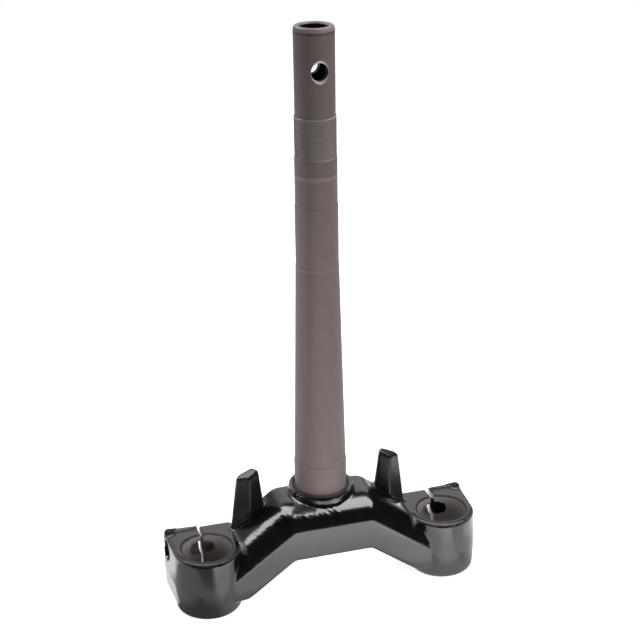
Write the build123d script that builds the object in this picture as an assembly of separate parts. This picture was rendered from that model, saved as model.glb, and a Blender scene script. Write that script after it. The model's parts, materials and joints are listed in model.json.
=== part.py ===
from build123d import *
import os
from math import acos, atan2, degrees, hypot, radians, sqrt, tan

# Lower triple clamp of a small motorcycle: a black arched yoke with two split fork clamps,
# and a hollow steel steering stem pressed into it. Millimetres.
# Frame: Z is the steering axis, pointing up. The origin lies on that axis, on top of the yoke's
# collar, where the lower bearing race sits. The forks stand ahead of the stem, towards -Y.

# Fork clamps: round pots, drafted both ways from a parting plane
FORK_SPACING = 157.0
FORK_OFFSET = 12.3
FORK_TUBE_D = 31.0
CLAMP_WALL = 6.1
CLAMP_DROP = 26.7
CLAMP_HEIGHT = 40.6
CLAMP_PARTING = 22.0
CLAMP_RIM_R = 1.8
CLAMP_TOE_R = 3.5
CLAMP_CHAMFER = 0.5
DRAFT_UP_DEG = 1.5
DRAFT_DOWN_DEG = 2.5

# Pinch-bolt ears behind each pot
EAR_REAR = 16.3
EAR_W = 46.4
EAR_HEIGHT = 38.0
EAR_CORNER_R = 4.0
EAR_TOE_R = 2.5
EAR_ROOT = 4.0
SLIT_W = 2.6
PINCH_D = 10.2
PINCH_TAP_D = 8.5
PINCH_DROP = 8.5
PINCH_BREAK = 2.1
PINCH_DEPTH = 17.0
PINCH_SEAT_D = 13.0
PINCH_SEAT_DEPTH = 1.5
RIDGE_H = 2.0
RIDGE_W = 1.8
KNOB_H = 2.9
KNOB_R = 3.2

# Arched beam
BEAM_FRONT = 29.5
BEAM_REAR = 11.6
BEAM_HEIGHT = 32.5
BEAM_TOP_HALF = 29.0
BEAM_UNDER_HALF = 25.3
ARM_FOOT = 33.0
ARM_UNDER_DEG = 36.0
ARM_TOE_R = 12.0
SHOULDER_R = 1.0
ARCH_R = 5.0
NOSE_DEPTH = 20.0
NOSE_DROP = 11.5
BEAM_REAR_R = 2.0
BEAM_UNDER_R = 2.0

# Boss and collar round the stem
COLLAR_D = 41.4
COLLAR_H = 4.6
COLLAR_CHAMFER = 1.0
BOSS_D = 46.0
BOSS_CHAMFER = 1.5

# Steering stops: tapered posts with a ridge down the front and a top that falls outwards
STOP_X = 47.0
STOP_FRONT = 1.2
STOP_INNER_BACK = 3.2
STOP_OUTER_BACK = 6.0
STOP_FOOT_W = 24.2
STOP_TOP_W = 15.4
STOP_RIDGE_H = 38.3
STOP_TOP_REAR = 8.0
STOP_OUT_DEG = 25.0
STOP_FRONT_DEG = 9.0
STOP_REAR_TAPER = 3.0
STOP_EDGE_R = 1.5

# Steering stem
PRESS_D = 34.0
SEAT_D = 33.0
SEAT_LEN = 18.4
CONE_FOOT_D = 32.35
CONE_TOP_D = 26.3
CONE_LEN = 132.5
JOURNAL_D = 26.0
JOURNAL_LEN = 37.2
NECK_D = 25.4
NECK_LEN = 29.2
THREAD_D = 25.0
THREAD_LEN = 24.2
SPIGOT_D = 24.0
SPIGOT_LEN = 52.2
STEM_BORE_D = 16.0
STEM_CHAMFER = 1.0
STEM_LEAD = 2.4
CROSS_D = 10.2
CROSS_DROP = 24.7
CROSS_SINK = 0.15
CROSS_SINK_DEG = 118.0

# Heights and places that follow from the sizes above
clamp_x = FORK_SPACING / 2
clamp_r = FORK_TUBE_D / 2 + CLAMP_WALL
clamp_top = -CLAMP_DROP
clamp_parting = clamp_top - CLAMP_PARTING
clamp_foot = clamp_top - CLAMP_HEIGHT
rim_draft = CLAMP_PARTING * tan(radians(DRAFT_UP_DEG))
arm_foot = clamp_top - ARM_FOOT
ear_len = FORK_OFFSET + EAR_REAR
pinch_y = -FORK_OFFSET + FORK_TUBE_D / 2 - PINCH_BREAK + PINCH_D / 2
pinch_z = clamp_top - PINCH_DROP
beam_top = -COLLAR_H
beam_foot = beam_top - BEAM_HEIGHT
arm_slope = (beam_top - clamp_top) / (clamp_x - clamp_r + rim_draft - BEAM_TOP_HALF)
shoulder_r = NOSE_DROP + SHOULDER_R
arm_end = beam_top - arm_slope * (clamp_x - BEAM_TOP_HALF)
arm_under_end = BEAM_UNDER_HALF + (beam_foot - arm_foot) / tan(radians(ARM_UNDER_DEG))
cone_top = SEAT_LEN + CONE_LEN
journal_top = cone_top + JOURNAL_LEN
neck_top = journal_top + NECK_LEN
thread_top = neck_top + THREAD_LEN
stem_top = thread_top + SPIGOT_LEN
cross_z = stem_top - CROSS_DROP
cross_sink_y = sqrt(SPIGOT_D**2 - CROSS_D**2) / 2 - CROSS_SINK

STANDING = (Align.CENTER, Align.CENTER, Align.MIN)
HANGING = (Align.CENTER, Align.CENTER, Align.MAX)


def nose_cut():
    """What the broad round takes off the beam's front edge, from the middle to the clamp at +X."""
    back = NOSE_DEPTH - BEAM_FRONT
    front = -BEAM_FRONT - SHOULDER_R
    above = beam_top + SHOULDER_R
    low = beam_top - NOSE_DROP
    nose = EllipticalCenterArc((back, low), NOSE_DEPTH, NOSE_DROP, 90, arc_size=90)
    outside = Polyline(nose @ 1, (front, low), (front, above), (back, above), nose @ 0)
    along = FilletPolyline((0, beam_top), (BEAM_TOP_HALF, beam_top), (clamp_x, arm_end), radius=shoulder_r)
    return sweep(Plane.YZ * make_face([nose, outside]), path=Plane.XZ * along)


def arched_beam():
    """The arch that carries both clamps, with its broad rounded front edge."""
    half = [
        (BEAM_TOP_HALF, beam_top),
        (clamp_x, arm_end),
        (clamp_x, arm_foot),
        (arm_under_end, arm_foot),
        (BEAM_UNDER_HALF, beam_foot),
    ]
    other_half = [(-x, z) for x, z in reversed(half)]
    arch = make_face(Polyline(*half, *other_half, close=True))
    toes = arch.vertices().filter_by(lambda v: abs(abs(v.X) - arm_under_end) < 0.01)
    arch = fillet(toes, ARM_TOE_R)
    knees = arch.vertices().filter_by(lambda v: abs(abs(v.X) - BEAM_UNDER_HALF) < 0.01)
    arch = fillet(knees, ARCH_R)
    shoulders = arch.vertices().filter_by(lambda v: abs(abs(v.X) - BEAM_TOP_HALF) < 0.01)
    arch = fillet(shoulders, shoulder_r)
    beam = extrude(Plane.XZ.offset(BEAM_FRONT) * arch, -BEAM_FRONT - BEAM_REAR)
    rims = beam.edges().filter_by(lambda e: e.center().Z > beam_foot + 0.01)
    beam = fillet(rims.group_by(Axis.Y)[-1], BEAM_REAR_R)
    half_nose = nose_cut()
    beam -= half_nose
    beam -= mirror(half_nose, about=Plane.YZ)
    under = beam.edges().filter_by(Axis.X).filter_by_position(Axis.Z, beam_foot - 0.01, beam_foot + 0.01)
    return fillet(under, BEAM_UNDER_R)


def stem_boss():
    """The collar that the stem is pressed into, and the half-round boss behind the beam."""
    boss = Pos(0, 0, beam_foot) * Cylinder(BOSS_D / 2, BEAM_HEIGHT, align=STANDING)
    boss = chamfer(boss.edges().filter_by(GeomType.CIRCLE), BOSS_CHAMFER)
    boss -= Box(2 * BOSS_D, BOSS_D, 4 * BEAM_HEIGHT, align=(Align.CENTER, Align.MAX, Align.CENTER))
    collar = Cylinder(COLLAR_D / 2, 2 * COLLAR_H, align=HANGING)
    return boss + collar


def stop_section(level):
    """A slice through the steering stop at +X: level 0 is its foot, 1 the top of its ridge."""
    width = STOP_FOOT_W + level * (STOP_TOP_W - STOP_FOOT_W)
    rear = BEAM_REAR + level * (STOP_TOP_REAR - BEAM_REAR)
    inner = STOP_X - width / 2
    outer = STOP_X + width / 2
    corners = [
        (STOP_X, -STOP_FRONT),
        (outer, STOP_OUTER_BACK - STOP_FRONT),
        (outer - STOP_REAR_TAPER, rear),
        (inner + STOP_REAR_TAPER, rear),
        (inner, STOP_INNER_BACK - STOP_FRONT),
    ]
    return Pos(0, 0, clamp_top + level * STOP_RIDGE_H) * make_face(Polyline(*corners, close=True))


def steering_stop():
    """The tapered post at +X that meets the frame at full lock."""
    post = loft([stop_section(0), stop_section(1.3)], ruled=True)
    ridge_top = Pos(STOP_X, -STOP_FRONT, clamp_top + STOP_RIDGE_H)
    above = Box(4 * STOP_FOOT_W, 4 * STOP_FOOT_W, 2 * STOP_FOOT_W, align=STANDING)
    post -= ridge_top * Rot(STOP_FRONT_DEG, STOP_OUT_DEG, 0) * above
    rounded = post.edges().filter_by(lambda e: e.center().Z > clamp_top + 0.01)
    return fillet(rounded, STOP_EDGE_R)


def clamp_outline():
    """The clamp from above: round in front, with sides that run off it to the ears' rear corners."""
    out = EAR_W / 2 - EAR_CORNER_R
    back = ear_len - EAR_CORNER_R
    lean = degrees(atan2(back, out) - acos((clamp_r - EAR_CORNER_R) / hypot(out, back)))
    front = CenterArc((0, 0), clamp_r, 180 - lean, 180 + 2 * lean)
    right_corner = CenterArc((out, back), EAR_CORNER_R, lean, 90 - lean)
    left_corner = CenterArc((-out, back), EAR_CORNER_R, 90, 90 - lean)
    rear = Line(right_corner @ 1, left_corner @ 0)
    sides = [Line(front @ 1, right_corner @ 0), Line(left_corner @ 1, front @ 0)]
    return make_face([front, right_corner, rear, left_corner, *sides])


def clamp_body():
    """The fork clamp at +X: a drafted pot that runs back into its two ears."""
    pot = Circle(clamp_r)
    outline = clamp_outline()
    upper = extrude(outline, CLAMP_PARTING, taper=DRAFT_UP_DEG)
    upper = fillet(upper.faces().sort_by(Axis.Z)[-1].edges(), CLAMP_RIM_R)
    lower = extrude(outline, CLAMP_PARTING - EAR_HEIGHT, taper=DRAFT_DOWN_DEG)
    lower = fillet(lower.faces().sort_by(Axis.Z)[0].edges(), EAR_TOE_R)
    toe = extrude(pot, CLAMP_PARTING - CLAMP_HEIGHT, taper=DRAFT_DOWN_DEG)
    toe = fillet(toe.faces().sort_by(Axis.Z)[0].edges(), CLAMP_TOE_R)
    root = Pos(-clamp_r - EAR_ROOT, 0, CLAMP_PARTING) * Box(
        2 * EAR_ROOT, FORK_OFFSET + BEAM_REAR, CLAMP_PARTING, align=(Align.MIN, Align.MIN, Align.MAX)
    )
    return Pos(clamp_x, -FORK_OFFSET, clamp_parting) * (upper + lower + toe + root)


def ear_ridge():
    """The raised ridge left along the rear edge of the outer ear, and the knob at its corner."""
    length = EAR_W / 2 - rim_draft - KNOB_R
    rear = EAR_REAR - rim_draft
    ends = []
    for along, height in ((0, 0.2 * RIDGE_H), (length, RIDGE_H)):
        section = [(rear, -CLAMP_RIM_R), (rear, height), (rear - RIDGE_W, 0), (rear - RIDGE_W, -CLAMP_RIM_R)]
        upright = Plane.YZ * make_face(Polyline(*section, close=True))
        ends.append(Pos(clamp_x + along, 0, clamp_top) * upright)
    knob = Pos(clamp_x + length, rear - KNOB_R, clamp_top + KNOB_H - KNOB_R) * Sphere(KNOB_R)
    return loft(ends, ruled=True) + knob


def clamp_cuts():
    """The fork bore, the slit and the stepped pinch-bolt hole of the clamp at +X."""
    fork_r = FORK_TUBE_D / 2
    mouth_r = fork_r + CLAMP_CHAMFER
    head = Pos(clamp_x, -FORK_OFFSET, clamp_top)
    foot = Pos(clamp_x, -FORK_OFFSET, clamp_foot)
    bore = foot * Cylinder(fork_r, 2 * CLAMP_HEIGHT, align=STANDING)
    bore += head * Cone(fork_r, mouth_r, CLAMP_CHAMFER, align=HANGING)
    bore += foot * Cone(mouth_r, fork_r, CLAMP_CHAMFER, align=STANDING)
    slit = foot * Box(SLIT_W, 2 * ear_len, 2 * CLAMP_HEIGHT, align=(Align.CENTER, Align.MIN, Align.MIN))
    outwards = Pos(clamp_x, pinch_y, pinch_z) * Rot(0, 90, 0)
    tapped = outwards * Cylinder(PINCH_TAP_D / 2, PINCH_DEPTH, align=HANGING)
    clear = outwards * Cylinder(PINCH_D / 2, 2 * clamp_r, align=STANDING)
    seat = Cylinder(PINCH_SEAT_D / 2, clamp_r, align=STANDING)
    seat = outwards * Pos(0, 0, clamp_r - PINCH_SEAT_DEPTH) * seat
    return bore + slit + tapped + clear + seat


def lower_bracket():
    """The yoke, formed as one piece and then bored, slit and drilled."""
    right = clamp_body() + ear_ridge() + steering_stop()
    bracket = arched_beam() + stem_boss() + right + mirror(right, about=Plane.YZ)
    cuts = clamp_cuts()
    bracket -= cuts
    bracket -= mirror(cuts, about=Plane.YZ)
    bracket -= Cylinder(PRESS_D / 2, 4 * BEAM_HEIGHT)
    return bracket - Cone(PRESS_D / 2, PRESS_D / 2 + COLLAR_CHAMFER, COLLAR_CHAMFER, align=HANGING)


def steering_stem():
    """The hollow turned stem, from the yoke's underside up to the handlebar spigot."""
    profile = [
        (PRESS_D / 2 - STEM_CHAMFER, beam_foot),
        (PRESS_D / 2, beam_foot + STEM_CHAMFER),
        (PRESS_D / 2, -COLLAR_CHAMFER),
        (SEAT_D / 2, -COLLAR_CHAMFER),
        (SEAT_D / 2, SEAT_LEN),
        (CONE_FOOT_D / 2, SEAT_LEN),
        (CONE_TOP_D / 2, cone_top),
        (JOURNAL_D / 2, cone_top),
        (JOURNAL_D / 2, journal_top),
        (NECK_D / 2, journal_top),
        (NECK_D / 2, neck_top),
        (THREAD_D / 2, neck_top),
        (THREAD_D / 2, thread_top),
        (SPIGOT_D / 2, thread_top),
        (SPIGOT_D / 2, stem_top - STEM_LEAD),
        (SPIGOT_D / 2 - STEM_CHAMFER, stem_top),
        (STEM_BORE_D / 2 + STEM_CHAMFER, stem_top),
        (STEM_BORE_D / 2, stem_top - STEM_CHAMFER),
        (STEM_BORE_D / 2, beam_foot),
    ]
    stem = revolve(Plane.XZ * make_face(Polyline(*profile, close=True)), Axis.Z)
    across = Pos(0, 0, cross_z) * Rot(90, 0, 0)
    stem -= across * Cylinder(CROSS_D / 2, 2 * SPIGOT_D)
    sink_h = SPIGOT_D - cross_sink_y
    sink_r = CROSS_D / 2 + sink_h * tan(radians(CROSS_SINK_DEG / 2))
    for way in (across, across * Rot(180, 0, 0)):
        stem -= way * Pos(0, 0, cross_sink_y) * Cone(CROSS_D / 2, sink_r, sink_h, align=STANDING)
    return stem


os.makedirs("parts", exist_ok=True)
export_step(lower_bracket(), "parts/lower_bracket.step")
export_step(steering_stem(), "parts/steering_stem.step")
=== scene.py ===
import json
from math import cos, pi, radians, sin, tan, tau

import bmesh
import bpy
from mathutils import Matrix, Quaternion, Vector, noise


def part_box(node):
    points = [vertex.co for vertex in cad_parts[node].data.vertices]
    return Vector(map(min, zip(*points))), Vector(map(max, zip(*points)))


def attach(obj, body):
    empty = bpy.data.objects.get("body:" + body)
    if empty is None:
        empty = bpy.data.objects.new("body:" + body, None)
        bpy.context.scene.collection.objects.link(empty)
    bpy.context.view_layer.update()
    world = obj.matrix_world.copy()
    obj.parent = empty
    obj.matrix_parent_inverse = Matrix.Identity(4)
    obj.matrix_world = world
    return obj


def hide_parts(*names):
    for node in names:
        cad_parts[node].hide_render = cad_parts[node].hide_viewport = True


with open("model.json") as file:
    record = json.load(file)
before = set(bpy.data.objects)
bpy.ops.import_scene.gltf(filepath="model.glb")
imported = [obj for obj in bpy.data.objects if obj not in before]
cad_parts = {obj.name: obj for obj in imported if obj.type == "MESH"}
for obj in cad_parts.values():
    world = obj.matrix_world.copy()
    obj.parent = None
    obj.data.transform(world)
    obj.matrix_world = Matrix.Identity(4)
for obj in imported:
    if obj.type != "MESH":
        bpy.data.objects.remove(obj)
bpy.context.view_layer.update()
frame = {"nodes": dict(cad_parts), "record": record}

# Metres throughout, in the part's own frame: Z is the steering axis, and the forks lie ahead, towards -Y.
# The rider's left is +X, which is on the right in the picture.
MM = 0.001
SIDES = {"left": 1, "right": -1}
mounts = {mount["name"]: mount for mount in frame["record"]["mounts"]}
scene = bpy.context.scene


def radius_of(name):
    """The radius of a round seat or hole of the part."""
    return mounts[name]["dims"]["r_mm"] * MM


def length_of(name):
    """The length of a round seat or hole of the part."""
    return mounts[name]["dims"]["length_mm"] * MM


def place_of(name):
    """The point that a seat or hole of the part is measured from."""
    return Vector(mounts[name]["pos_m"])


yoke_low, yoke_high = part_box("lower_bracket")
stem_low, stem_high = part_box("steering_stem")
fork_place = place_of("left_fork_clamp")
fork_r = radius_of("left_fork_clamp")

# Yoke: the skin is a fine even net, softened as a forging is, and the machined holes are cut after it
SKIN_NET = 0.85 * MM
SKIN_SOFTENING = 4
SKIN_SOFTNESS = 0.5
SKIN_TRIM = 0.12 * MM
CUT_CLEAR = 20 * MM
BORE_SIDES = 128
PINCH_SIDES = 64
MOUTH_RISE = 1.0 * MM
SEAT_R = 6.5 * MM
FORGED_CRISP = radians(38)

# Slits: the skin is eased in beside them before they are cut, and the right-hand clamp is sprung further shut
SLIT_W = 2.0 * MM
SLIT_CLOSING = 0.34 * MM
SLIT_SPRUNG = 0.35 * MM
SLIT_REACH = 5.0 * MM
SLIT_HOLD = 1.4

# Ripples on the beam's front shoulder, faint on the rider's left, and a slight wave all over
RIPPLE = 0.2 * MM
RIPPLE_SIZE = Vector((1.3, 3.5, 3.5)) * MM
RIPPLE_LEAN = 0.6
SHOULDER_SPREAD = 2.4
CALM_FROM = 5 * MM
CALM = 0.15
SHOP_WAVE = 0.03 * MM
SHOP_WAVE_SIZE = 14.0 * MM

# Stem: sizes that the part's seats don't give
COLLAR_CHAMFER = 1.0 * MM
STEM_CHAMFER = 1.0 * MM
CONE_FOOT_R = 16.175 * MM
CONE_TOP_R = 13.15 * MM
NECK_R = 12.7 * MM
EDGE_BREAK = 0.25 * MM
THREAD_PITCH = 1.0 * MM
THREAD_DEPTH = 0.35 * MM
THREAD_STEPS = 8
SPIGOT_RELIEF = 0.5 * MM
SPIGOT_RING = 1.5 * MM
STEM_LEAD = 2.4 * MM
LEAD_CURVE = ((0.12, 0.6), (0.4, 0.25))
STEM_SIDES = 160
CROSS_SIDES = 96
CROSS_SINK_ANGLE = radians(102)
NECK_LINE = 206.0 * MM
TAPER_LINE = 149.0 * MM
TURNED_CRISP = radians(20)
HAIR = 0.01 * MM

# Camera and floor
CAMERA_PLACE = Vector((-0.2302, -0.7888, 0.4633))
CAMERA_AIM = Vector((0.00287, 0.00568, 0.11045))
CAMERA_ROLL = radians(-0.832)
LENS = 82.21
SENSOR = 36.0
FLOOR_AHEAD = 0.135
FLOOR_BEHIND = 1.6
FLOOR_SIDE = 1.2


class Value:
    """Something that varies over a surface. Arithmetic on a number of this kind adds Math nodes."""

    def __init__(self, finish, socket):
        self.finish = finish
        self.socket = socket

    def maths(self, operation, first, second=0.0):
        """A Math node on one or two numbers."""
        return self.finish.add("ShaderNodeMath", {"operation": operation}, {0: first, 1: second})

    def __add__(self, other):
        return self.maths("ADD", self, other)

    __radd__ = __add__

    def __sub__(self, other):
        return self.maths("SUBTRACT", self, other)

    def __rsub__(self, other):
        return self.maths("SUBTRACT", other, self)

    def __mul__(self, other):
        return self.maths("MULTIPLY", self, other)

    __rmul__ = __mul__

    def __pow__(self, other):
        return self.maths("POWER", self, other)

    def __abs__(self):
        return self.maths("ABSOLUTE", self)


class Finish:
    """The node tree of one finish or background."""

    def __init__(self, tree):
        self.tree = tree
        tree.nodes.clear()

    def add(self, kind, settings, inputs, output=0):
        """Adds a node, with its settings first and then its sockets' values or links."""
        node = self.tree.nodes.new(kind)
        for name, setting in settings.items():
            setattr(node, name, setting)
        for name, value in inputs.items():
            if isinstance(value, Value):
                self.tree.links.new(value.socket, node.inputs[name])
            else:
                node.inputs[name].default_value = value
        if not node.outputs:
            return None
        return Value(self, node.outputs[output])

    def place(self):
        """The point on the piece, in metres."""
        return self.add("ShaderNodeTexCoord", {}, {}, "Object")

    def split(self, vector):
        """The three parts of a vector."""
        first = self.add("ShaderNodeSeparateXYZ", {}, {0: vector})
        outputs = first.socket.node.outputs
        return [Value(self, outputs[axis]) for axis in "XYZ"]

    def stretched(self, vector, scale):
        """A vector with each of its parts scaled."""
        return self.add("ShaderNodeVectorMath", {"operation": "MULTIPLY"}, {0: vector, 1: scale})

    def grain(self, vector, size, detail=2.0, roughness=0.5):
        """Soft noise from 0 to 1, with lumps about as large as size."""
        settings = {"noise_dimensions": "3D"}
        inputs = {"Vector": vector, "Scale": 1 / size, "Detail": detail, "Roughness": roughness}
        return self.add("ShaderNodeTexNoise", settings, inputs)

    def fade(self, value, ends, past=0.0):
        """0 up to the first end, 1 from the second on, and soft between. Both ends count from past."""
        inputs = {"Value": value, "From Min": past + ends[0], "From Max": past + ends[1]}
        return self.add("ShaderNodeMapRange", {"interpolation_type": "SMOOTHSTEP"}, inputs)

    def blend(self, mask, first, second):
        """The first colour where the mask is 0, the second where it is 1."""
        return self.add("ShaderNodeMix", {"data_type": "RGBA"}, {0: mask, 6: first, 7: second}, 2)

    def bump(self, height, distance):
        """A surface normal that follows a height."""
        return self.add("ShaderNodeBump", {}, {"Height": height, "Distance": distance, "Strength": 1.0})

    def shader(self, inputs):
        """A principled shader."""
        return self.add("ShaderNodeBsdfPrincipled", {}, inputs)

    def end(self, shader):
        """Ends a material's tree in a shader."""
        self.add("ShaderNodeOutputMaterial", {}, {"Surface": shader})


def new_finish(name):
    """An empty material and its tree."""
    material = bpy.data.materials.new(name)
    material.use_nodes = True
    return material, Finish(material.node_tree)


def either(first, second):
    """A mask that is 1 where one or the other of two masks is."""
    return first + second - first * second


# Finish of the yoke: where its masks begin and where they are whole
RIGHT_HAND = (0.0, -1 * MM)
HOLE_FADE = (0.35 * MM, 0.2 * MM)
MOUTH_FADE = (1.4 * MM, 1.2 * MM)
SLIT_FADE = (0.3 * MM, 0.15 * MM)
SLIT_START = (0.0, 1 * MM)
OUTER_HALF = (-0.5 * MM, 0.5 * MM)
CLAMP_START = (-9 * MM, -7 * MM)
TOP_FADE = (2.6 * MM, 2.0 * MM)
RIM_FOOT = (0.3, 0.5)
RIM_TOP = (0.98, 0.93)
CHIP_PATCHES = (0.28, 0.5)
FLAT_FADE = (5.0 * MM, 4.5 * MM)
FLAT_START = (-2 * MM, -6 * MM)
BAND_SIDE = (0.0, 1 * MM)
BAND_START = (9 * MM, 10.5 * MM)
RIDGE_START = (1.1 * MM, 1.4 * MM)
STOP_FOOT = (-16 * MM, -8 * MM)
STOP_SIDE = (33 * MM, 36 * MM)
STOP_FRONT = (-5 * MM, -3 * MM)

# How far the clamps' tops are rubbed dull: their front flats, those of the right-hand clamp more, and the ears
FLAT_RUB = 0.3
RIGHT_RUB = 0.35
BAND_RUB = 0.55

# Sizes of the grain in the paint and the steel
CLOUD_SIZE = 9 * MM
PEEL_SIZE = 1.3 * MM
PEEL_DEPTH = 0.012 * MM
FINE_SIZE = 0.35 * MM
FINE_DETAIL = (3.0, 0.6)
CHIP_SIZE = 1.6 * MM

# Colours of the yoke. Pairs run from the darker shade to the paler one, worn rims from the left clamp to the right:
# the left clamp's rim is painted paler as a painted highlight. The pinch holes' painted shade runs from deep to
# lit.
PAINT = ((0.004, 0.004, 0.0045, 1), (0.009, 0.0085, 0.009, 1))
RIM_WEAR_AND_HIGHLIGHT = ((0.07, 0.064, 0.066, 1), (0.012, 0.009, 0.012, 1))
SCALE = ((0.016, 0.011, 0.016, 1), (0.03, 0.022, 0.03, 1))
BORE_STEEL = ((0.29, 0.26, 0.24, 1), (0.46, 0.415, 0.385, 1))
PINCH_SHADE = ((0.012, 0.011, 0.011, 1), (0.2, 0.18, 0.165, 1))
SAWN = (0.62, 0.55, 0.575, 1)

# Gloss of the yoke
PAINT_IOR = 2.3
PAINT_ROUGH = 0.12
CLOUD_ROUGH = 0.1
RIM_ROUGH = 0.33
STOP_ROUGH = 0.24
STOP_COAT_LOSS = 0.9
COAT_ROUGH = 0.08
BARE_ROUGH = 0.45
FINE_ROUGH = 0.16
SAWN_SMOOTH = 0.15
BORE_METAL = 0.4
PINCH_METAL_LOSS = 0.6


def black_enamel():
    """Gloss black paint on the forging, worn at the rims, with a painted highlight on the left clamp's rim, dull on
    the clamps' tops, and bare in their holes, with painted shade in the pinch holes.
    """
    material, f = new_finish("black_enamel")
    place = f.place()
    x, y, z = f.split(place)
    upwards = f.split(f.add("ShaderNodeTexCoord", {}, {}, "Normal"))[2]
    right_hand = f.fade(x, RIGHT_HAND)
    cloud = f.grain(place, CLOUD_SIZE, detail=3.0)
    peel = f.grain(place, PEEL_SIZE)
    fine = f.grain(place, FINE_SIZE, *FINE_DETAIL)
    chips = f.fade(f.grain(place, CHIP_SIZE), CHIP_PATCHES)

    # Fork bores with their chamfered mouths, slits and pinch holes
    across = abs(x) - fork_place.x
    along = y - fork_place.y
    from_axis = (across * across + along * along) ** 0.5
    in_bore = f.fade(from_axis, HOLE_FADE, fork_r)
    in_mouth = f.fade(from_axis, MOUTH_FADE, fork_r)
    from_slit = abs(across) + SLIT_SPRUNG * right_hand
    in_slit = f.fade(from_slit, SLIT_FADE, SLIT_W / 2) * f.fade(along, SLIT_START)
    pinch = place_of("left_pinch_bolt")
    off_y = y - pinch.y
    off_z = z - pinch.z
    from_pinch = (off_y * off_y + off_z * off_z) ** 0.5
    in_pinch = f.fade(from_pinch, HOLE_FADE, radius_of("left_pinch_bolt"))

    # Clamps' rims, rubbed flats, bands and ridges of the ears, and steering stops
    clamp_top = fork_place.z + length_of("left_fork_clamp") / 2
    on_clamp = f.fade(abs(x), CLAMP_START, fork_place.x - fork_r)
    on_top = on_clamp * f.fade(abs(z - clamp_top), TOP_FADE)
    on_rim = on_top * f.fade(upwards, RIM_FOOT) * f.fade(upwards, RIM_TOP) * chips
    on_flat = f.fade(from_axis, FLAT_FADE, fork_r) * f.fade(along, FLAT_START)
    on_band = f.fade(across, BAND_SIDE) * f.fade(y, BAND_START)
    rubbed = on_top * ((FLAT_RUB + RIGHT_RUB * right_hand) * on_flat + BAND_RUB * on_band)
    on_ridge = on_clamp * f.fade(z, RIDGE_START, clamp_top)
    on_stop = f.fade(z, STOP_FOOT) * f.fade(abs(x), STOP_SIDE) * f.fade(y, STOP_FRONT)

    dull = either(either(in_mouth, on_ridge), rubbed)
    bare = either(either(either(in_bore, in_slit), in_pinch), dull)
    # Rims worn dull, the left clamp's rim paler as a painted highlight
    wear_and_highlight = f.blend(right_hand, *RIM_WEAR_AND_HIGHLIGHT)
    painted = f.shader({
        "Base Color": f.blend(on_rim, f.blend(cloud, *PAINT), wear_and_highlight),
        "Roughness": PAINT_ROUGH + CLOUD_ROUGH * cloud + RIM_ROUGH * on_rim + STOP_ROUGH * on_stop,
        "IOR": PAINT_IOR,
        "Coat Weight": (1 - on_rim) * (1 - STOP_COAT_LOSS * on_stop),
        "Coat Roughness": COAT_ROUGH,
        "Normal": f.bump(peel, PEEL_DEPTH),
    })
    ground = f.blend(in_bore, f.blend(fine, *SCALE), f.blend(fine, *BORE_STEEL))
    ground = f.blend(in_slit, ground, SAWN)
    # Painted shade inside the pinch holes, deepest in the outer half of the left clamp's hole
    pinch_lit = 1 - f.fade(across, OUTER_HALF) * (1 - right_hand)
    metal = BORE_METAL * in_bore * (1 - in_slit) + in_slit
    bored = f.shader({
        "Base Color": f.blend(in_pinch, ground, f.blend(pinch_lit, *PINCH_SHADE)),
        "Roughness": BARE_ROUGH + FINE_ROUGH * fine - SAWN_SMOOTH * in_slit,
        "Metallic": metal * (1 - PINCH_METAL_LOSS * in_pinch),
    })
    f.end(f.add("ShaderNodeMixShader", {}, {0: bare, 1: painted, 2: bored}))
    return material


# Finish of the stem: where its masks begin and where they are whole
NECK_START = (0.0, 2 * MM)
NECK_LINE_FADE = (1.8 * MM, 0.8 * MM)
TAPER_LINE_FADE = (0.6 * MM, 0.2 * MM)
LEAD_SHADE_DROP = 0.9 * MM
LEAD_SHADE_FADE = (0.9 * MM, 0.4 * MM)
LEAD_START = (-0.2 * MM, 0.4 * MM)
THREAD_FADE = (0.2 * MM, -0.2 * MM)
END_FADE = (0.5 * MM, 0.2 * MM)
END_PATCHES = (0.3, 0.6)
BORE_FADE = (0.5 * MM, 0.1 * MM)
SINK_START = (0.0, 0.1 * MM)
CROSS_FADE = (0.2 * MM, 0.0)

# Grain of the stem: rings of the turning tool, wider bands, and mottle
RING_STRETCH = (0.02, 0.02, 1.0)
RING_DEPTH = 0.006 * MM
BAND_STRETCH = (0.05, 0.05, 1.0)
BAND_SIZE = 9 * MM
MOTTLE_SIZE = 7 * MM
MOTTLE_DETAIL = (4.0, 0.6)
MOTTLE_TINT = 0.5
BAND_TINT = 0.3
RING_TINT = 0.2

# Colours of the stem, and how strongly the marks on its film show. The lines at the neck and taper, the lead-in,
# the thread's ends and the countersinks carry painted highlights; the line below the lead-in and the holes' insides
# are painted shade.
FILM = ((0.213, 0.17, 0.156, 1), (0.315, 0.258, 0.246, 1))
NECK_DARKER = (0.14, (0.09, 0.07, 0.06, 1))
STEP_LINE_HIGHLIGHT = (0.2, (0.6, 0.53, 0.5, 1))
TAPER_LINE_SHARE = 0.7
LEAD_FOOT_SHADE = (0.55, (0.09, 0.075, 0.07, 1))
LEAD_HIGHLIGHT = (0.45, (0.6, 0.53, 0.51, 1))
CUT = ((0.26, 0.224, 0.214, 1), (0.345, 0.298, 0.288, 1))
THREAD_END_HIGHLIGHT = (0.5, 0.465, 0.44, 1)
SINK_BARE_AND_HIGHLIGHT = (0.85, 0.79, 0.75, 1)
HOLE_SHADE = (0.008, 0.007, 0.009, 1)

# Gloss of the stem
STEEL_ROUGH = 0.42
MOTTLE_ROUGH = 0.14
STEEL_METAL = 0.35
BAND_METAL = 0.1


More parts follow.
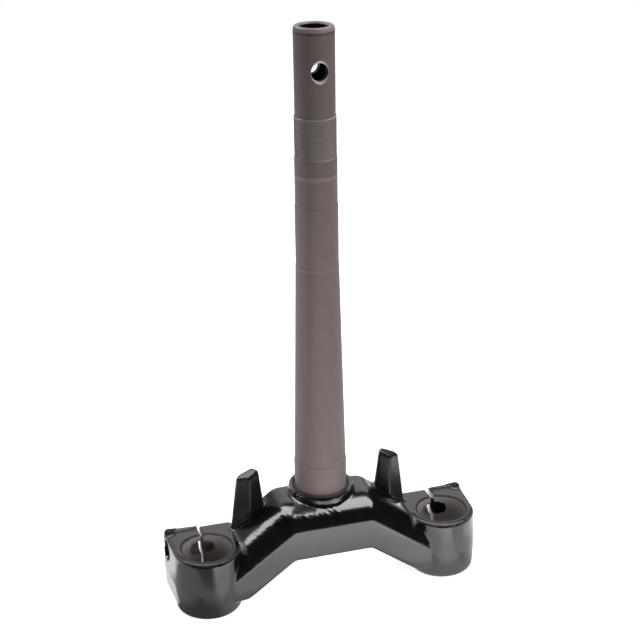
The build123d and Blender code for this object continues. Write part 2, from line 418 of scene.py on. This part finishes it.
def turned_steel():
    """Satin turned steel under a thin grey-brown film, with turning marks round it and a paler thread, painted
    highlights at its lines and edges and painted shade in its holes.
    """
    material, f = new_finish("turned_steel")
    place = f.place()
    x, y, z = f.split(place)
    rings = f.grain(f.stretched(place, RING_STRETCH), FINE_SIZE, *FINE_DETAIL)
    bands = f.grain(f.stretched(place, BAND_STRETCH), BAND_SIZE)
    mottle = f.grain(place, MOTTLE_SIZE, *MOTTLE_DETAIL)

    # Film, with a darker neck, painted highlight lines at the neck and taper lines, a painted shade line below the
    # lead-in, and the lead-in painted pale as a highlight
    film = f.blend(MOTTLE_TINT * mottle + BAND_TINT * bands + RING_TINT * rings, *FILM)
    neck_line = f.fade(abs(z - NECK_LINE), NECK_LINE_FADE)
    taper_line = f.fade(abs(z - TAPER_LINE), TAPER_LINE_FADE)
    lead_foot = stem_high.z - STEM_LEAD
    marks = (
        # The neck darker above the neck line
        (f.fade(z, NECK_START, NECK_LINE), NECK_DARKER),
        # Painted highlight lines at the neck line and the taper line
        (neck_line + TAPER_LINE_SHARE * taper_line, STEP_LINE_HIGHLIGHT),
        # Painted shade line just below the lead-in
        (f.fade(abs(z - lead_foot + LEAD_SHADE_DROP), LEAD_SHADE_FADE), LEAD_FOOT_SHADE),
        # The lead-in painted pale as a highlight
        (f.fade(z, LEAD_START, lead_foot), LEAD_HIGHLIGHT),
    )
    for mask, (strength, colour) in marks:
        film = f.blend(strength * mask, film, colour)

    # Thread, with a patchy painted highlight ring at each end
    thread = place_of("steering_nut_thread").z
    thread_half = length_of("steering_nut_thread") / 2
    from_middle = abs(z - thread)
    on_thread = f.fade(from_middle, THREAD_FADE, thread_half)
    # Painted highlight rings at the thread's ends
    at_end = f.fade(abs(from_middle - thread_half), END_FADE) * f.fade(mottle, END_PATCHES)
    worked = f.blend(on_thread, film, f.blend(rings, *CUT))
    worked = f.blend(at_end, worked, THREAD_END_HIGHLIGHT)

    # Bore and cross hole, their insides painted near-black as shade, and the countersinks bare steel painted
    # bright, partly as a highlight
    from_axis = (x * x + y * y) ** 0.5
    in_bore = f.fade(from_axis, BORE_FADE, radius_of("stem_bore"))
    off_z = z - place_of("spigot_cross_bolt").z
    from_cross = (x * x + off_z * off_z) ** 0.5
    past_floor = abs(y) - length_of("spigot_cross_bolt") / 2
    on_sink = f.fade(past_floor, SINK_START)
    flare = past_floor * on_sink * tan(CROSS_SINK_ANGLE / 2)
    in_cross = f.fade(from_cross - flare, CROSS_FADE, radius_of("spigot_cross_bolt"))
    # Countersinks bare steel painted bright, partly as a highlight
    worked = f.blend(in_cross * on_sink, worked, SINK_BARE_AND_HIGHLIGHT)
    # Bore and cross hole insides painted near-black as shade
    shaded_inside = either(in_bore, in_cross * (1 - on_sink))
    f.end(f.shader({
        "Base Color": f.blend(shaded_inside, worked, HOLE_SHADE),
        "Roughness": STEEL_ROUGH + MOTTLE_ROUGH * mottle,
        "Metallic": (STEEL_METAL + BAND_METAL * bands) * (1 - shaded_inside),
        "Normal": f.bump(rings, RING_DEPTH),
    }))
    return material


def made_piece(name, mesh, node, material):
    """Shows a new mesh in place of a node of the part."""
    piece = bpy.data.objects.new(name, mesh)
    scene.collection.objects.link(piece)
    mesh.materials.clear()
    mesh.materials.append(material)
    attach(piece, "root")
    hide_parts(node)
    return piece


def skirt(shell, low, high):
    """Faces between two rings of corners."""
    for side, corner in enumerate(low):
        after = (side + 1) % len(low)
        shell.faces.new((corner, low[after], high[after], high[side]))


def turned(profile, sides, hollow=False):
    """Turns (radius, height) points round Z. A hollow shell closes on itself, a solid one has flat ends."""
    shell = bmesh.new()
    turns = [tau * side / sides for side in range(sides)]
    rings = []
    for radius, height in profile:
        corners = [(radius * cos(turn), radius * sin(turn), height) for turn in turns]
        rings.append([shell.verts.new(corner) for corner in corners])
    for low, high in zip(rings, rings[1:]):
        skirt(shell, low, high)
    if hollow:
        skirt(shell, rings[-1], rings[0])
    else:
        shell.faces.new(list(reversed(rings[0])))
        shell.faces.new(rings[-1])
    return shell


def loose_object(name, shell):
    """Puts a bmesh into an object of its own."""
    bmesh.ops.recalc_face_normals(shell, faces=shell.faces)
    mesh = bpy.data.meshes.new(name)
    shell.to_mesh(mesh)
    shell.free()
    item = bpy.data.objects.new(name, mesh)
    scene.collection.objects.link(item)
    return item


def plug(name, profile, sides, matrix):
    """A round cutter, moved into place."""
    shell = turned(profile, sides)
    shell.transform(matrix)
    return loose_object(name, shell)


def worked_mesh(item):
    """The mesh that an object's modifiers give. The object itself is taken away."""
    bpy.context.view_layer.update()
    shaped = item.evaluated_get(bpy.context.evaluated_depsgraph_get())
    mesh = bpy.data.meshes.new_from_object(shaped)
    bpy.data.objects.remove(item)
    return mesh


def cut_with(item, cutters):
    """Cuts holes in an object and returns its mesh."""
    for cutter in cutters:
        cut = item.modifiers.new(cutter.name, "BOOLEAN")
        cut.operation = "DIFFERENCE"
        cut.solver = "MANIFOLD"
        cut.object = cutter
    mesh = worked_mesh(item)
    for cutter in cutters:
        bpy.data.objects.remove(cutter)
    return mesh


def smooth_shaded(mesh, crisp):
    """Smooth shading, with creases where faces meet at more than the crisp angle."""
    mesh.shade_smooth()
    mesh.set_sharp_from_angle(angle=crisp)


def forged_skin():
    """The yoke's skin: the part's own form as an even net, softened, with the ripples of the forging."""
    item = bpy.data.objects.new("skin", frame["nodes"]["lower_bracket"].data.copy())
    scene.collection.objects.link(item)
    net = item.modifiers.new("net", "REMESH")
    net.mode = "VOXEL"
    net.voxel_size = SKIN_NET
    soft = item.modifiers.new("soft", "SMOOTH")
    soft.factor = SKIN_SOFTNESS
    soft.iterations = SKIN_SOFTENING
    mesh = worked_mesh(item)
    normals = [Vector(corner.vector) for corner in mesh.vertex_normals]
    for vertex, normal in zip(mesh.vertices, normals):
        shoulder = min(1.0, SHOULDER_SPREAD * max(0.0, -normal.y) * max(0.0, normal.z))
        if vertex.co.x > CALM_FROM:
            shoulder *= CALM
        leaning = vertex.co + Vector((RIPPLE_LEAN * vertex.co.y, 0, 0))
        spot = Vector(part / size for part, size in zip(leaning, RIPPLE_SIZE))
        ripple = noise.noise(spot) * RIPPLE * shoulder
        wave = noise.noise(vertex.co / SHOP_WAVE_SIZE) * SHOP_WAVE
        vertex.co += normal * (ripple + wave)
        across = abs(vertex.co.x) - fork_place.x
        if vertex.co.y > fork_place.y and abs(across) < SLIT_REACH:
            closing = SLIT_CLOSING if vertex.co.x > 0 else SLIT_CLOSING + SLIT_SPRUNG
            inwards = -closing if across * vertex.co.x > 0 else closing
            vertex.co.x += inwards * min(1.0, SLIT_HOLD * (1 - abs(across) / SLIT_REACH))
    return mesh


def fork_bore(hand):
    """The cutter of a clamp's fork bore, with its chamfered mouths."""
    half = length_of(f"{hand}_fork_clamp") / 2
    wall = fork_r + SKIN_TRIM
    mouth = wall + MOUTH_RISE
    profile = [
        (mouth, -half - CUT_CLEAR),
        (mouth, -half - MOUTH_RISE),
        (wall, -half),
        (wall, half),
        (mouth, half + MOUTH_RISE),
        (mouth, half + CUT_CLEAR),
    ]
    middle = Matrix.Translation(place_of(f"{hand}_fork_clamp"))
    return plug(f"{hand}_bore", profile, BORE_SIDES, middle)


def clamp_slit(hand):
    """The cutter of a clamp's slit, from its bore's middle back through the ears, and taller than the clamp."""
    fork = place_of(f"{hand}_fork_clamp")
    half = length_of(f"{hand}_fork_clamp") / 2
    length = yoke_high.y + CUT_CLEAR - fork.y
    width = SLIT_W if hand == "left" else SLIT_W - 2 * SLIT_SPRUNG
    size = (width + SKIN_TRIM, length, 4 * half)
    middle = fork + Vector((0, length / 2, 0))
    shell = bmesh.new()
    bmesh.ops.create_cube(shell, size=1.0)
    shell.transform(Matrix.Translation(middle) @ Matrix.Diagonal((*size, 1)))
    return loose_object(f"{hand}_slit", shell)


def pinch_hole(hand):
    """The cutter of a clamp's pinch hole: threaded end, bolt hole and bolt seat, from the inside out."""
    bolt = place_of(f"{hand}_pinch_bolt")
    thread = place_of(f"{hand}_pinch_thread")
    bolt_r = radius_of(f"{hand}_pinch_bolt") + SKIN_TRIM
    thread_r = radius_of(f"{hand}_pinch_thread") + SKIN_TRIM
    inner_end = abs(thread.x) - length_of(f"{hand}_pinch_thread") / 2
    seat = abs(bolt.x) + length_of(f"{hand}_pinch_bolt") / 2
    profile = [
        (thread_r, inner_end - SKIN_TRIM),
        (thread_r, fork_place.x),
        (bolt_r, fork_place.x),
        (bolt_r, seat),
        (SEAT_R + SKIN_TRIM, seat),
        (SEAT_R + SKIN_TRIM, seat + CUT_CLEAR),
    ]
    outwards = Matrix.Rotation(radians(90) * SIDES[hand], 4, "Y")
    place = Matrix.Translation((0, bolt.y, bolt.z)) @ outwards
    return plug(f"{hand}_pinch", profile, PINCH_SIDES, place)


def yoke():
    """The black yoke, in place of its plain solid."""
    item = bpy.data.objects.new("skin", forged_skin())
    scene.collection.objects.link(item)
    cutters = []
    for hand in SIDES:
        cutters += [fork_bore(hand), clamp_slit(hand), pinch_hole(hand)]
    mesh = cut_with(item, cutters)
    smooth_shaded(mesh, FORGED_CRISP)
    return made_piece("forged_yoke", mesh, "lower_bracket", black_enamel())


def even_rings(radius, foot, top, step):
    """Points up a plain band, about a step apart: (radius, height)."""
    count = round((top - foot) / step)
    return [(radius, foot + (top - foot) * ring / count) for ring in range(count + 1)]


def stem_profile():
    """The stem's outline from its foot up the outside, and down the bore: (radius, height) points."""
    seat_top = length_of("lower_bearing_seat") - COLLAR_CHAMFER
    journal = place_of("upper_bearing_seat").z
    journal_half = length_of("upper_bearing_seat") / 2
    thread = place_of("steering_nut_thread").z
    thread_half = length_of("steering_nut_thread") / 2
    press_r = stem_high.x
    seat_r = radius_of("lower_bearing_seat")
    journal_r = radius_of("upper_bearing_seat")
    thread_r = radius_of("steering_nut_thread")
    bore_r = radius_of("stem_bore")
    spigot_r = thread_r - SPIGOT_RELIEF
    below = [
        (press_r - STEM_CHAMFER, stem_low.z),
        (press_r, stem_low.z + STEM_CHAMFER),
        (press_r, -COLLAR_CHAMFER),
        (seat_r, -COLLAR_CHAMFER),
        (seat_r, seat_top - EDGE_BREAK),
        (seat_r - EDGE_BREAK, seat_top),
        (CONE_FOOT_R, seat_top + EDGE_BREAK),
        (CONE_TOP_R, journal - journal_half - EDGE_BREAK),
        (journal_r, journal - journal_half),
        (journal_r, journal + journal_half - EDGE_BREAK),
        (NECK_R, journal + journal_half),
        (NECK_R, thread - thread_half - EDGE_BREAK),
    ]
    thread_top = thread + thread_half
    band = even_rings(thread_r, thread - thread_half, thread_top, THREAD_PITCH / THREAD_STEPS)
    spigot = even_rings(spigot_r, thread_top + EDGE_BREAK, stem_high.z - STEM_LEAD, SPIGOT_RING)
    lead = [(spigot_r - off * STEM_CHAMFER, stem_high.z - low * STEM_LEAD) for off, low in LEAD_CURVE]
    end = [
        (spigot_r - STEM_CHAMFER, stem_high.z),
        (bore_r + STEM_CHAMFER, stem_high.z),
        (bore_r, stem_high.z - STEM_CHAMFER),
        (bore_r, stem_low.z),
    ]
    return below + band + spigot + lead + end


def cut_thread(shell):
    """Turns the plain band of the stem into a fine V thread with runouts at both ends."""
    thread = place_of("steering_nut_thread").z
    half = length_of("steering_nut_thread") / 2
    outer = radius_of("steering_nut_thread")
    for vertex in shell.verts:
        radius = vertex.co.xy.length
        height = vertex.co.z - thread
        if abs(height) > half + HAIR or radius < outer - HAIR:
            continue
        turn = Vector((1, 0)).angle_signed(vertex.co.xy) / tau
        phase = (height / THREAD_PITCH + turn) % 1.0
        groove = 1 - abs(2 * phase - 1)
        runout = min(1.0, (half - abs(height)) / THREAD_PITCH)
        depth = THREAD_DEPTH * groove * max(0.0, runout)
        vertex.co.xy *= (outer - depth) / radius


def steering_stem():
    """The hollow steel stem, in place of its plain solid."""
    shell = turned(stem_profile(), STEM_SIDES, hollow=True)
    cut_thread(shell)
    item = loose_object("stem", shell)
    cross_r = radius_of("spigot_cross_bolt")
    sink_floor = length_of("spigot_cross_bolt") / 2
    reach = stem_high.x
    sink_r = cross_r + (reach - sink_floor) * tan(CROSS_SINK_ANGLE / 2)
    profile = [(sink_r, -reach), (cross_r, -sink_floor), (cross_r, sink_floor), (sink_r, reach)]
    height = place_of("spigot_cross_bolt").z
    across = Matrix.Translation((0, 0, height)) @ Matrix.Rotation(radians(90), 4, "X")
    hole = plug("cross_hole", profile, CROSS_SIDES, across)
    mesh = cut_with(item, [hole])
    smooth_shaded(mesh, TURNED_CRISP)
    return made_piece("turned_stem", mesh, "steering_stem", turned_steel())


def camera():
    """The camera at the picture's viewing angle."""
    data = bpy.data.cameras.new("camera")
    data.lens = LENS
    data.sensor_width = SENSOR
    item = bpy.data.objects.new("camera", data)
    item.location = CAMERA_PLACE
    item.rotation_mode = "QUATERNION"
    look = (CAMERA_AIM - CAMERA_PLACE).to_track_quat("-Z", "Y")
    item.rotation_quaternion = look @ Quaternion((0, 0, 1), CAMERA_ROLL)
    scene.collection.objects.link(item)
    scene.camera = item


def ray_is(f, kind):
    """1 for rays of one kind, 0 for the others."""
    return f.add("ShaderNodeLightPath", {}, {}, f"Is {kind} Ray")


# Floor: its own colour, and how much of white it glows for the camera near the part and further off
SHEET = (0.86, 0.86, 0.86, 1)
WHITE = (1, 1, 1, 1)
FLOOR_GLOW = 0.78
GLOW_RISE = (0.12, 0.4)

# Painted light and shade of the floor as the paint mirrors it, as parts of white: plain, and paler or darker by
# place
FLOOR_TONE = 0.65
AHEAD_PALER = 0.4
BEHIND_PALER = 0.35
LEFT_PALER = 0.22
LEFT_AHEAD_DARKER = 0.45
FAR_LEFT_PALER = 0.35
BEYOND_DARKER = 0.45
SHADE_TONE = 0.12
SHADE_PALER = 0.2
SHADE_REAR_DARKER = 0.1
BENEATH_SHADOW = 0.4


def mirrored_tone(f, x, y):
    """The floor's tone in the paint's mirror, a painted pattern of light and shade. Places are in metres, and left
    and right are the rider's.
    """
    ahead = f.fade(y, (-0.075, -0.115))
    behind = f.fade(y, (-0.03, 0.03))
    at_left = f.fade(x, (0.045, 0.07))
    past_left = f.fade(x, (0.092, 0.105))
    far_left = f.fade(x, (0.13, 0.15)) * f.fade(y, (-0.07, -0.05))
    beyond = f.fade(x, (0.2, 0.28))
    open_floor = FLOOR_TONE + AHEAD_PALER * ahead + BEHIND_PALER * behind
    open_floor = open_floor + LEFT_PALER * at_left * (1 - past_left) - LEFT_AHEAD_DARKER * past_left * ahead
    open_floor = open_floor + FAR_LEFT_PALER * far_left * (1 - beyond) - BEYOND_DARKER * beyond

    # The painted shade beside the right-hand clamp, open in a strip at its foot
    at_foot = f.fade(x, (-0.109, -0.106)) * f.fade(x, (-0.09, -0.095)) * f.fade(y, (-0.012, -0.006))
    in_shade = f.fade(x, (-0.06, -0.08)) * f.fade(x, (-0.4, -0.25)) * f.fade(y, (0.035, 0.015))
    in_shade = in_shade * (1 - at_foot)
    past_clamp = f.fade(x, (-0.1, -0.115))
    shade = SHADE_TONE + SHADE_PALER * f.fade(y, (-0.082, -0.07))
    shade = shade - SHADE_REAR_DARKER * f.fade(y, (-0.055, -0.045)) * (1 - past_clamp)

    # Painted shadow beneath the part
    shadow_beneath = f.fade(y, (-0.056, -0.044)) * f.fade(y, (0.02, 0.0)) * f.fade(abs(x), (0.12, 0.1))
    tone = open_floor * (1 - in_shade) + shade * in_shade
    return tone * (1 - BENEATH_SHADOW * shadow_beneath * (1 - at_foot))


def floor():
    """A pale sheet under the part, white to the camera, with the part's shadow on it. In reflections it glows with
    a painted pattern of light and shade instead.
    """
    shell = bmesh.new()
    corners = [
        (-FLOOR_SIDE, -FLOOR_AHEAD),
        (FLOOR_SIDE, -FLOOR_AHEAD),
        (FLOOR_SIDE, FLOOR_BEHIND),
        (-FLOOR_SIDE, FLOOR_BEHIND),
    ]
    shell.faces.new([shell.verts.new((x, y, yoke_low.z)) for x, y in corners])
    item = loose_object("floor", shell)
    material, f = new_finish("pale_sheet")
    x, y, _ = f.split(f.place())
    lit = f.add("ShaderNodeBsdfDiffuse", {}, {"Color": SHEET})
    far = f.fade((x * x + y * y) ** 0.5, GLOW_RISE)
    glow = (FLOOR_GLOW + (1 - FLOOR_GLOW) * far) * ray_is(f, "Camera")
    white = f.add("ShaderNodeEmission", {}, {"Color": WHITE, "Strength": glow})
    both = f.add("ShaderNodeAddShader", {}, {0: lit, 1: white})
    mirrored = f.add("ShaderNodeEmission", {}, {"Color": WHITE, "Strength": mirrored_tone(f, x, y)})
    f.end(f.add("ShaderNodeMixShader", {}, {0: ray_is(f, "Glossy"), 1: both, 2: mirrored}))
    item.data.materials.append(material)


# Room: dark all round but for a low pale stretch behind the part, paler towards the rider's left
ROOM_DARK = (0, 0, 0, 1)
ROOM_PALE = (1.04, 0.97, 1.01, 1)
BACK_TONE = 0.1
BACK_LEFT_PALER = 0.4


def room():
    """A white background for the camera, and round the part a room that is dark in front and pale behind."""
    scene.world = bpy.data.worlds.new("room")
    scene.world.use_nodes = True
    f = Finish(scene.world.node_tree)
    x, y, z = f.split(f.add("ShaderNodeTexCoord", {}, {}, "Generated"))
    behind = f.fade(y, (0.6, 0.78)) * f.fade(z, (0.62, 0.53))
    to_left = f.fade(x, (-0.42, 0.0)) * f.fade(x, (0.62, 0.45))
    tone = f.blend(behind * (BACK_TONE + BACK_LEFT_PALER * to_left), ROOM_DARK, ROOM_PALE)
    shown = f.blend(ray_is(f, "Camera"), tone, WHITE)
    back = f.add("ShaderNodeBackground", {}, {"Color": shown, "Strength": 1.0})
    f.add("ShaderNodeOutputWorld", {}, {"Surface": back})


def softbox(name, place, aim, size, radiance, turn=0.0, mirrored=False, colour=(1, 1, 1)):
    """A soft rectangular lamp of an even brightness. Reflections show it only if it is mirrored."""
    data = bpy.data.lights.new(name, "AREA")
    data.shape = "RECTANGLE"
    data.size, data.size_y = size
    data.energy = radiance * pi * size[0] * size[1]
    data.color = colour
    item = bpy.data.objects.new(name, data)
    item.location = place
    item.rotation_mode = "QUATERNION"
    look = (Vector(aim) - Vector(place)).to_track_quat("-Z", "Y")
    item.rotation_quaternion = Quaternion((0, 0, 1), turn) @ look
    item.visible_camera = False
    item.visible_glossy = mirrored
    scene.collection.objects.link(item)


def studio():
    """Camera, floor, background and lamps."""
    camera()
    floor()
    room()
    softbox("top_softbox", place=(-0.304, 0.6, 1.0), aim=(-0.304, 0.6, 0.0), size=(2.5, 0.705), radiance=2.3,
            turn=radians(-28), mirrored=True)
    softbox("front_fill", place=(0.9, -0.9, 0.4), aim=(0, 0, 0.1), size=(1.0, 0.9), radiance=4.5)
    softbox("side_fill", place=(-1.2, -0.3, 0.4), aim=(0, 0, 0.1), size=(0.6, 0.8), radiance=1.5,
            colour=(0.98, 0.92, 1.06))
    softbox("low_fill", place=(-0.08, -0.27, 0), aim=(0, 0, 0.05), size=(0.4, 0.15), radiance=3.0)
    scene.view_settings.view_transform = "Standard"


yoke()
steering_stem()
studio()
